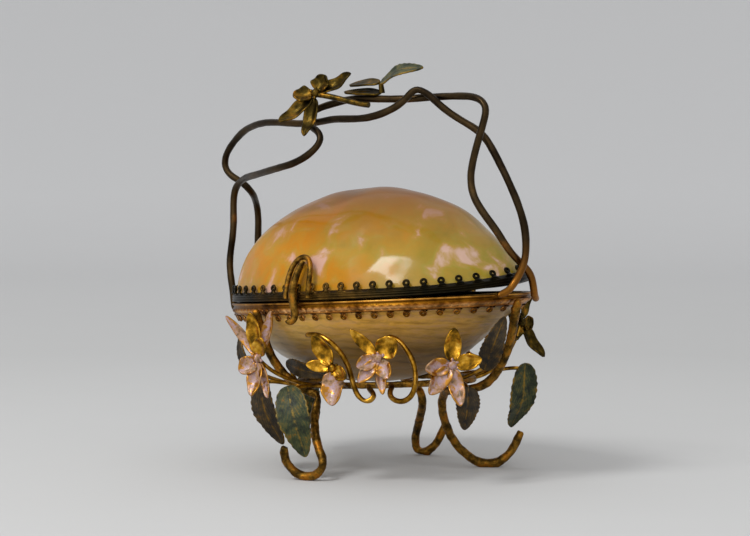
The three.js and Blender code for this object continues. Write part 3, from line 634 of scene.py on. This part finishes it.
outer_knuckle = KNUCKLE + KNUCKLE_GAP
fitted(hinge_leaf("hinge_leaf_under", -1, 3.3, (-outer_knuckle, outer_knuckle)), "stand", "dark_rim",
       "hinge_leaf_bowl")
fitted(hinge_leaf("hinge_leaf_over", 1, 4.3, (0,)), "lid", "dark_rim", "hinge_leaf_lid")
pin = tube(HINGE_LENGTH, PIN_DIAMETER, 0, 0)
pin.name = "peened_pin"
stood(pin)
pin.data.shade_smooth()
pin.data.materials.append(drawn_gilt)
fitted(pin, "stand", "dark_rim", "hinge_pin")


# The spring catch
# One springy wire on the lid's rim: an arch that stands against the shell, and a tongue from its
# top that snaps over the bowl's rim and ends in a small curl, where a thumb lifts it.

CATCH_TURN = math.radians(-93)
ARCH_WIRE = 1.5
ARCH_HALF_WIDTH = 3.85
ARCH_HEIGHT = 12


def drawn_wire(name, points, diameters, sides=10):
    """A round wire through points, in metres, with a diameter in mm for each, and flat ends."""
    bpy.ops.curve.primitive_nurbs_path_add()
    path = bpy.context.object
    path.name = name
    path.data.splines.clear()
    line = path.data.splines.new("NURBS")
    line.points.add(len(points) - 1)
    for point, place, diameter in zip(line.points, points, diameters):
        point.co = (*place, 1)
        point.radius = diameter / 2
    line.order_u = min(4, len(points))
    line.use_endpoint_u = True
    line.resolution_u = 6
    path.data.bevel_depth = mm
    path.data.bevel_resolution = (sides - 4) // 2
    path.data.use_fill_caps = True
    bpy.ops.object.select_all(action="DESELECT")
    path.select_set(True)
    bpy.context.view_layer.objects.active = path
    bpy.ops.object.convert(target="MESH")
    piece = bpy.context.object
    piece.data.shade_smooth()
    return piece


def catch_place(sideways, stand_off, height):
    """A place on the catch, beside the shell at the catch's turn."""
    point = beside(CATCH_TURN, lid.share(CATCH_TURN, height - 1.5), stand_off, height)
    return standing(point - outwards(CATCH_TURN).cross(Vector((0, 0, 1))) * sideways)


arch_off = RIM_OUTSIDE + TOUCH_GAP + ARCH_WIRE / 2 + 0.1
arch_points = [(-1, 0.1), (-1, 0.33), (-0.99, 0.6), (-0.8, 0.86), (-0.4, 1.0), (0, 1.03), (0.4, 1.0),
               (0.8, 0.86), (0.99, 0.6), (1, 0.33), (1, 0.1)]
arch_way = [catch_place(ARCH_HALF_WIDTH * side, arch_off, ARCH_HEIGHT * up - 0.1) for side, up in arch_points]
arch = drawn_wire("catch_arch", arch_way, [ARCH_WIRE] * len(arch_points))
tongue_off = RIM_OUTSIDE + TOUCH_GAP + 1
tongue_points = [(0, arch_off, 10.9), (-0.3, tongue_off + 0.35, 9), (-0.8, tongue_off + 0.5, 6),
                 (-1.1, tongue_off + 0.5, 3.4), (-1.1, tongue_off + 0.15, 0.6), (-0.8, tongue_off, -1.5),
                 (-0.5, tongue_off + 0.1, -3.5), (-0.9, tongue_off + 0.8, -5.2), (-1.8, tongue_off + 1.5, -5.5),
                 (-2.5, tongue_off + 1.5, -4.8)]
tongue = drawn_wire("catch_tongue", [catch_place(*point) for point in tongue_points],
                    [1.6, 1.9, 2.1, 2.4, 2.5, 2.4, 2.2, 1.8, 1.4, 1.0])
arch.data.materials.append(leg_gilt)
tongue.data.materials.append(leg_gilt)
catch = joined(arch, [tongue])
catch.name = "sprung_catch"
fitted(catch, "lid", "dark_rim", "spring_catch")


# The handle
# Two bronze wires bent by hand, soldered to the bowl's rim at both ends. They cross on the left,
# lie together along the top and twist once round each other on the right.

# Bronze wire with a brown patina: smooth and dark, with rusty gilding rubbed through in places.
wire_brown = new_finish("Patinated bronze wire")
spot = own_place(wire_brown)
patches = cloudy(wire_brown, spot, 11, 5, 0.55)
grit = cloudy(wire_brown, spot, 1.2, 3)
colours = ramp(wire_brown, patches,
               [(0.35, "#231b12"), (0.5, "#3a2e1e"), (0.62, "#4c3b24"), (0.7, "#825628")])
place = split(wire_brown, spot)
low = ranged(wire_brown, place["Z"], 1.0, 0.0, 0.049, 0.066)
right_end = ranged(wire_brown, place["X"], 0.0, 1.2, -0.02, 0.03)
gilded = worked(wire_brown, "MULTIPLY", low, right_end)
gilded = worked(wire_brown, "MULTIPLY", gilded, patches)
colours = blended(wire_brown, gilded, colours, linear("#b8741e"))
worn = ranged(wire_brown, grit, 0.28, 0.5)
bump = relief(wire_brown, grit, 0.3, 0.1)
lacquer(wire_brown, Base_Color=colours, Metallic=1.0, Roughness=worn, Normal=bump)

for node in ("handle_wire_back", "handle_wire_front"):
    wire = rounded_wire("bent_" + node, node, 2, 5, 2, lump=0.22, lump_size=4)
    wire.data.materials.append(wire_brown)
    fitted(wire, "stand", "handle_bronze", node)


# The flowers
# Six cast flowers round the stand and one on the handle: four to seven petals round a bead, on a stem
# soldered to the ring. Most upper petals are bare gilding, and most lower ones are enamelled.

CRADLE_LEVEL = 23.5
RING_SHARE = 0.62
RING_RADIUS = 0.9
HANDLE_HEIGHT = 57
STALK = 1.1
RIB_HEIGHT = 0.16
TOOTH_DEPTH = 0.13


def below(degrees, share, drop):
    """A place round the bowl, its height as a share of the drop from the rims to the ring."""
    return beside(math.radians(degrees), share, 0, -drop * CRADLE_LEVEL)


def ring_seat(degrees):
    """Where a stem is soldered to the ring."""
    return beside(math.radians(degrees), RING_SHARE, RING_RADIUS + TOUCH_GAP + STALK / 4, -CRADLE_LEVEL)


def blade(name, base, tip, facing, width, cup, curl, fullest, ruffle=0, thickness=0.55, teeth=0):
    """A petal or leaf: a pointed blade with a rib, cupped, curled, and ruffled and toothed at its edge."""
    along = (tip - base).normalized()
    length = (tip - base).length
    up = (facing - along * facing.dot(along)).normalized()
    across = up.cross(along)

    def place(side, share):
        half = width / 2 * math.sin(math.pi * min(1, max(0, share)) ** fullest) ** 0.6
        half *= 1 - TOOTH_DEPTH * (share * teeth % 1)
        reach = side * 2 - 1
        lift = curl * length * math.sin(math.pi * share) ** 2 + cup * half * abs(reach) ** 1.5
        lift += RIB_HEIGHT * math.exp(-(reach * 5) ** 2) * math.sin(math.pi * share)
        lift += ruffle * half * reach ** 2 * math.sin(share * 11 + base.x)
        return standing(base + along * share * length + across * reach * half + up * lift)

    piece = laid_out(name, 8, 4 * teeth if teeth else 14, place)
    shaped(piece, "SOLIDIFY", thickness=thickness * mm, offset=0)
    shaped(piece, "SUBSURF", levels=1, render_levels=1)
    return piece


def bead(name, centre, radius):
    """A round bead, its centre and radius in the box's own mm."""
    bpy.ops.mesh.primitive_uv_sphere_add(segments=16, ring_count=10, radius=radius)
    piece = bpy.context.object
    piece.name = name
    piece.data.transform(Matrix.Translation(centre))
    stood(piece)
    piece.data.shade_smooth()
    return piece


# Painted enamel on gilding: lilac white and glassy, with gilt edges and veins where it has worn.
petal_enamel = new_finish("Painted enamel on gilt brass, lilac")
across = split(petal_enamel, add(petal_enamel, "ShaderNodeUVMap").outputs[0])
spot = own_place(petal_enamel)
patches = cloudy(petal_enamel, spot, 2.2, 4, 0.6)
side = worked(petal_enamel, "SUBTRACT", across["X"], 0.5)
side = worked(petal_enamel, "ABSOLUTE", side)
edge = worked(petal_enamel, "MULTIPLY_ADD", side, 0.34, patches)
bare = ramp(petal_enamel, edge, [(0.56, 0.0), (0.67, 1.0)])
painted = ramp(petal_enamel, patches,
               [(0.32, "#63492e"), (0.42, "#a37c54"), (0.5, "#a78a8e"), (0.6, "#baa3a8"), (0.68, "#b8834a")])
colours = blended(petal_enamel, bare, painted, linear("#b07a2c"))
worn = ranged(petal_enamel, bare, 0.42, 0.34)
bump = relief(petal_enamel, patches, 0.4, 0.2)
lacquer(petal_enamel, Base_Color=colours, Metallic=bare, Roughness=worn, Coat_Weight=0.1, Normal=bump)

# Polished gilding: a warm yellow metal that goes brown where dust and lacquer gather.
bright_gilt = gilding("Polished gilt brass", 2.6,
                      [(0.35, "#4f3a10"), (0.46, "#94691a"), (0.56, "#c9922a"), (0.67, "#eebb4c")], 0.42, 0.2)
# Gilding gone olive brown under old lacquer, dull, with yellow metal left on the ridges.
olive_gilt = gilding("Browned gilding, olive", 3.2,
                     [(0.36, "#221a0a"), (0.5, "#453816"), (0.6, "#6e521c"), (0.7, "#99651e")], 0.5, 0.3)

# Each flower: which way it faces, its centre, where its stem is soldered on, what the stem passes,
# and its petals by the clock: degrees from upright, length, width, forward lean and finish.
GOLD, LILAC, GREEN = bright_gilt, petal_enamel, olive_gilt
FLOWERS = {
    "flower_left": (-75, (-108, 1.15, 0.63), -105, [(-107, 1.08, 0.78), (-105, 0.95, 0.93)],
                    [(-4, 13, 4.6, 0.15, GOLD), (22, 14, 3.4, 0.05, LILAC), (30, 7.3, 4.6, 0.5, GOLD),
                     (-36, 15, 3, 0.1, LILAC), (232, 6.5, 5.4, 0.4, LILAC), (184, 11, 4.6, 0.35, LILAC),
                     (163, 11.8, 3, 0.15, LILAC)]),
    "flower_front": (-70, (-81, 1.04, 0.76), -84, [(-83, 0.9, 0.92)],
                     [(-27, 10.6, 5, 0.2, GOLD), (-79, 7.5, 3.4, 0.3, GOLD), (177, 10.5, 6.6, 0.3, LILAC),
                      (118, 6.6, 4, 0.6, GOLD)]),
    "flower_middle": (-60, (-64.5, 1.03, 0.66), -66, [(-65.5, 0.96, 0.82), (-66, 0.85, 0.95)],
                      [(-42, 10.9, 3.4, 0.15, GOLD), (43, 7.5, 6.5, 0.25, GOLD), (-109, 6.6, 4.6, 0.4, LILAC),
                       (153, 6.7, 4.6, 0.4, LILAC), (220, 8.8, 4, 0.4, LILAC), (174, 10, 3, 0.2, LILAC)]),
    "flower_right": (-45, (-37.5, 1.02, 0.77), -36, [(-37, 0.92, 0.92)],
                     [(5, 10.3, 4.8, 0.2, GOLD), (80, 8.4, 4.6, 0.3, GOLD), (-94, 8.1, 5, 0.4, LILAC),
                      (223, 10.7, 5, 0.4, LILAC), (172, 11.5, 4.4, 0.3, LILAC)]),
    "flower_end": (-20, (53.5, 1.08, 0.38), 42, [(50, 1.02, 0.6), (44, 0.86, 0.94)],
                   [(25, 10.4, 2.6, 0.1, GREEN), (100, 4, 4.4, 0.3, GREEN), (149, 12.2, 3.6, 0.2, GREEN),
                    (-140, 6.5, 4, 0.3, GREEN), (-60, 6, 4, 0.3, GREEN)]),
    "flower_back": (135, (140, 1.0, 0.68), 138, [(139, 0.88, 0.9)],
                    [(-10, 9.5, 5, 0.2, GOLD), (62, 7.5, 5, 0.3, GOLD), (135, 7.5, 5, 0.4, LILAC),
                     (205, 7.5, 5, 0.4, LILAC), (-75, 7.5, 5, 0.3, GOLD)]),
}


def stem_through(points, diameter, coat):
    """A wire stem through places on the box, in mm."""
    stem = drawn_wire("stalk", [standing(point) for point in points], [diameter] * len(points), sides=8)
    stem.data.materials.append(coat)
    return stem


def corolla(centre, outward, upright, petals):
    """The petals of a flower and the beads at its heart."""
    sideways = upright.cross(outward)
    parts = []
    for clock, length, width, lean, coat in petals:
        turn = math.radians(clock)
        reach = (upright * math.cos(turn) + sideways * math.sin(turn) + outward * lean).normalized()
        petal = blade("petal", centre + reach * 0.9, centre + reach * length, outward, width,
                      0.45, -0.1, 0.8, 0.22)
        petal.data.materials.append(coat)
        parts.append(petal)
    heart = bead("bead", centre + outward * 0.6, 1.25)
    heart.data.materials.append(petals[-1][4])
    parts.append(heart)
    for step in range(6):
        turn = math.radians(60 * step)
        place = centre + (upright * math.cos(turn) + sideways * math.sin(turn)) * 1.5 + outward * 0.7
        stamen = bead("stamen", place, 0.5)
        stamen.data.materials.append(petals[-1][4])
        parts.append(stamen)
    return parts


def headed(degrees):
    """A level direction, by its degrees round from +X."""
    return Vector((math.cos(math.radians(degrees)), math.sin(math.radians(degrees)), 0))


for node, (facing, centre, root, way, petals) in FLOWERS.items():
    heart = below(*centre)
    parts = corolla(heart, headed(facing), Vector((0, 0, 1)), petals)
    points = [heart, *[below(*point) for point in way], ring_seat(root)]
    flower = joined(parts[0], [*parts[1:], stem_through(points, STALK, drawn_gilt)])
    flower.name = "cast_" + node
    fitted(flower, "stand", "petal_enamel", node)


def on_handle(along, across, up):
    """A place on the handle, in shares of the shell's half length and half width and of its height."""
    return Vector((along * HALF_LENGTH, across * HALF_WIDTH, up * HANDLE_HEIGHT))


outward = Vector((0.35, -0.8, 0.5)).normalized()
upright = (Vector((0, 0, 1)) - outward * outward.z).normalized()
heart = on_handle(-0.049, -0.696, 0.99)
parts = corolla(heart, outward, upright,
                [(65, 11.6, 4, 0.2, GREEN), (30, 6, 5.5, 0.4, GREEN), (-100, 6.5, 5, 0.3, GREEN),
                 (230, 13, 4.4, 0, GREEN), (191, 13, 4, -0.1, GREEN)])
points = [heart, on_handle(0.067, -0.639, 0.975), on_handle(0.167, -0.614, 0.935),
          on_handle(0.297, -0.591, 0.918)]
flower = joined(parts[0], [*parts[1:], stem_through(points, 1.6, olive_gilt)])
flower.name = "cast_handle_flower"
fitted(flower, "stand", "bright_gilt", "handle_flower")


# The leaves
# Long pointed leaves stamped from sheet, dished along their ribs and enamelled dark green, with the
# gilding left on their ribs and edges. Eight stand round the stand, and three on the handle.

def leaf_finish(name, stops, metal):
    """Enamel over stamped brass, with its colours and that of the metal that its veins leave bare."""
    finish = new_finish(name)
    across = split(finish, add(finish, "ShaderNodeUVMap").outputs[0])
    spot = own_place(finish)
    patches = cloudy(finish, spot, 2.2, 5, 0.65)
    side = worked(finish, "SUBTRACT", across["X"], 0.5)
    side = worked(finish, "ABSOLUTE", side)
    herring = worked(finish, "MULTIPLY_ADD", side, -1.1, across["Y"])
    veins = worked(finish, "MULTIPLY", herring, 9.0)
    veins = worked(finish, "FRACT", veins)
    veins = ramp(finish, veins, [(0.0, 0.4), (0.12, 0.0), (0.88, 0.0), (1.0, 0.4)])
    rib = ramp(finish, side, [(0.02, 0.7), (0.05, 0.0), (0.44, 0.0), (0.49, 0.8)])
    bare = worked(finish, "MAXIMUM", veins, rib)
    rubbed = ranged(finish, patches, 0.0, 1.0, 0.4, 0.62)
    shown = worked(finish, "MULTIPLY", bare, rubbed)
    painted = ramp(finish, patches, stops)
    colours = blended(finish, shown, painted, linear(metal))
    worn = ranged(finish, patches, 0.5, 0.34)
    bump = relief(finish, bare, 0.6, 0.15)
    bump = relief(finish, patches, 0.5, 0.3, bump)
    lacquer(finish, Base_Color=colours, Metallic=shown, Roughness=worn, Specular_IOR_Level=0.25,
            Normal=bump)
    return finish


# Enamel, dark sea green and satin, worn to olive and rust, with thin gilt veins standing out of it.
leaf_enamel = leaf_finish("Enamel on stamped brass, sea green",
                          [(0.34, "#151a10"), (0.46, "#2b331c"), (0.55, "#3a4226"), (0.63, "#564c1c"),
                           (0.7, "#7a4c12")],
                          "#a07c30")
# The same enamel gone brown, nearly black, with dull edges.
dark_enamel = leaf_finish("Browned enamel on stamped brass",
                          [(0.34, "#0f0c06"), (0.48, "#241a09"), (0.6, "#33280f"), (0.7, "#54340c")],
                          "#7a5a20")

# Each leaf: its base and tip, its width, where its stem is soldered on, which way it faces and its
# finish. A base or tip is a turn round the bowl, a share of the way out and a share of the drop.
LEAVES = {
    "leaf_front": ((-102, 1.0, 0.96), (-96, 0.97, 1.8), 9.8, -98, -58, leaf_enamel),
    "leaf_left_dark": ((-130, 0.92, 0.9), (-123, 0.8, 1.7), 8.4, -129, -85, dark_enamel),
    "leaf_under": ((-123, 0.75, 0.73), (-92, 0.7, 0.88), 4.8, -124, -110, dark_enamel),
    "leaf_left_small": ((-138, 0.93, 0.84), (-141, 1.0, 0.38), 5, -140, -110, dark_enamel),
    "leaf_right_tall": ((-16, 0.9, 0.86), (-14, 1.07, 0.25), 6.4, -20, -55, dark_enamel),
    "leaf_end": ((51, 1.08, 0.86), (66, 1.12, 1.66), 9, 55, -25, leaf_enamel),
    "leaf_right_dark": ((-14, 0.74, 1.05), (-22, 0.78, 1.54), 7, -10, -45, dark_enamel),
    "leaf_back": ((157, 0.95, 0.92), (152, 0.98, 1.6), 8, 160, 150, leaf_enamel),
}
for node, (base, tip, width, root, facing, coat) in LEAVES.items():
    start, end, seat = below(*base), below(*tip), ring_seat(root)
    leaf = blade("leaf", start, end, headed(facing), width, 0.2, 0.1, 0.7, 0.05, 0.6, 11)
    leaf.data.materials.append(coat)
    points = [start.lerp(end, 0.15), start, start.lerp(seat, 0.6), seat]
    leaf = joined(leaf, [stem_through(points, STALK, drawn_gilt)])
    leaf.name = "stamped_" + node
    fitted(leaf, "stand", "leaf_enamel", node)

fork = on_handle(0.366, -0.538, 1.02)
foot = on_handle(0.366, -0.528, 0.947) + Vector((0, 0, 1.3))
green, gilt = on_handle(0.636, -0.437, 1.075), on_handle(0.127, -0.549, 1.022)
facing = Vector((0.1, -0.55, 0.85))
green_leaf = blade("leaf", fork, green, facing, 7, 0.15, 0.1, 0.7, 0.05, 0.6, 9)
green_leaf.data.materials.append(leaf_enamel)
gilt_leaf = blade("leaf", fork, gilt, facing, 3.6, 0.15, 0.03, 0.7, 0.05, 0.6)
gilt_leaf.data.materials.append(olive_gilt)
low_leaf = blade("leaf", foot, on_handle(0.11, -0.6, 0.99), facing, 3.4, 0.15, 0.02, 0.7, 0.05, 0.6)
low_leaf.data.materials.append(olive_gilt)
stub = drawn_wire("stub", [standing(point) for point in (foot, foot.lerp(fork, 0.5), fork)], [1.8, 1.6, 1.3],
                  sides=8)
stub.data.materials.append(olive_gilt)
spray = joined(green_leaf, [gilt_leaf, low_leaf, stub])
spray.name = "stamped_handle_leaves"
fitted(spray, "stand", "leaf_enamel", "handle_leaves")


# The room
# A pale grey paper sweep that rises all round, soft light from the front, from above and from the
# right, and the camera at the height and turn of the photograph.

# The paper lies flat round the box, then bends upwards; all four in metres.
SWEEP_LENGTH = 2.65
SWEEP_FLAT = 1.2
SWEEP_BEND = 1.9
SWEEP_RADIUS = 1.2

# Each light: its name, its place and the size of its face in metres, and its power in watts.
LIGHTS = (("key", (-0.08, -0.87, 1.05), 0.32, 7.6), ("fill", (0.75, -0.35, 0.8), 1.2, 2.2),
          ("top", (-0.2, 0.2, 1.3), 1.8, 3.8), ("front", (0.25, -1.0, 0.3), 1.3, 5))

LIGHT_TARGET = Vector((0, 0, 0.06))

CAMERA_PLACE = (0.386222, -0.458437, 0.084)
CAMERA_TARGET = Vector((-0.000749, 0.000093, 0.0566))

# Paper, matt and neutral. Its colour is painted lighter with distance from the box, painted light that makes up
# for the lamps' light falling off on the far paper.
paper = new_finish("Matt grey paper")
spot = own_place(paper)
fibres = cloudy(paper, spot, 40, 4)
far = add(paper, "ShaderNodeVectorMath", {0: spot}, operation="LENGTH")
# Painted light: the paper's colour lightens with distance from the box.
painted_light_with_distance = ranged(paper, far.outputs["Value"], 0.0, 1.0, 0.4, 1.6)
fibres_and_painted_light = worked(paper, "MULTIPLY_ADD", fibres, 0.04, painted_light_with_distance)
colours = ramp(paper, fibres_and_painted_light, [(0.0, "#c5c5c4"), (1.0, "#ebebeb")])
lacquer(paper, Base_Color=colours, Roughness=0.9)

bpy.ops.mesh.primitive_grid_add(x_subdivisions=96, y_subdivisions=40, size=2)
sweep = bpy.context.object
sweep.name = "paper_sweep"
for corner in sweep.data.vertices:
    turn = (corner.co.x + 1) * math.pi
    far = (corner.co.y + 1) / 2 * SWEEP_LENGTH
    bent = min(1, max(0, far - SWEEP_FLAT) / SWEEP_BEND) * math.pi / 2
    reach = min(far, SWEEP_FLAT) + math.sin(bent) * SWEEP_RADIUS
    rise = (1 - math.cos(bent)) * SWEEP_RADIUS
    corner.co = (reach * math.cos(turn), reach * math.sin(turn), rise)
in_edit(sweep, lambda: bpy.ops.mesh.remove_doubles(threshold=mm),
        lambda: bpy.ops.mesh.normals_make_consistent(inside=True))
sweep.data.shade_smooth()
sweep.data.materials.append(paper)

world = bpy.data.worlds.new("Studio")
bpy.context.scene.world = world
world.use_nodes = True
world.node_tree.nodes["Background"].inputs["Color"].default_value = linear("#d9dadc")
world.node_tree.nodes["Background"].inputs["Strength"].default_value = 0.62
bpy.context.scene.view_settings.view_transform = "Standard"

for name, place, size, power in LIGHTS:
    bpy.ops.object.light_add(type="AREA", location=place)
    lamp = bpy.context.object
    lamp.name = name + "_light"
    lamp.data.size = size
    lamp.data.energy = power
    lamp.rotation_euler = (LIGHT_TARGET - Vector(place)).to_track_quat("-Z", "Y").to_euler()

bpy.ops.object.camera_add(location=CAMERA_PLACE)
camera = bpy.context.object
camera.rotation_euler = (CAMERA_TARGET - camera.location).to_track_quat("-Z", "Y").to_euler()
camera.data.lens = 102.86
camera.data.sensor_width = 36
bpy.context.scene.camera = camera
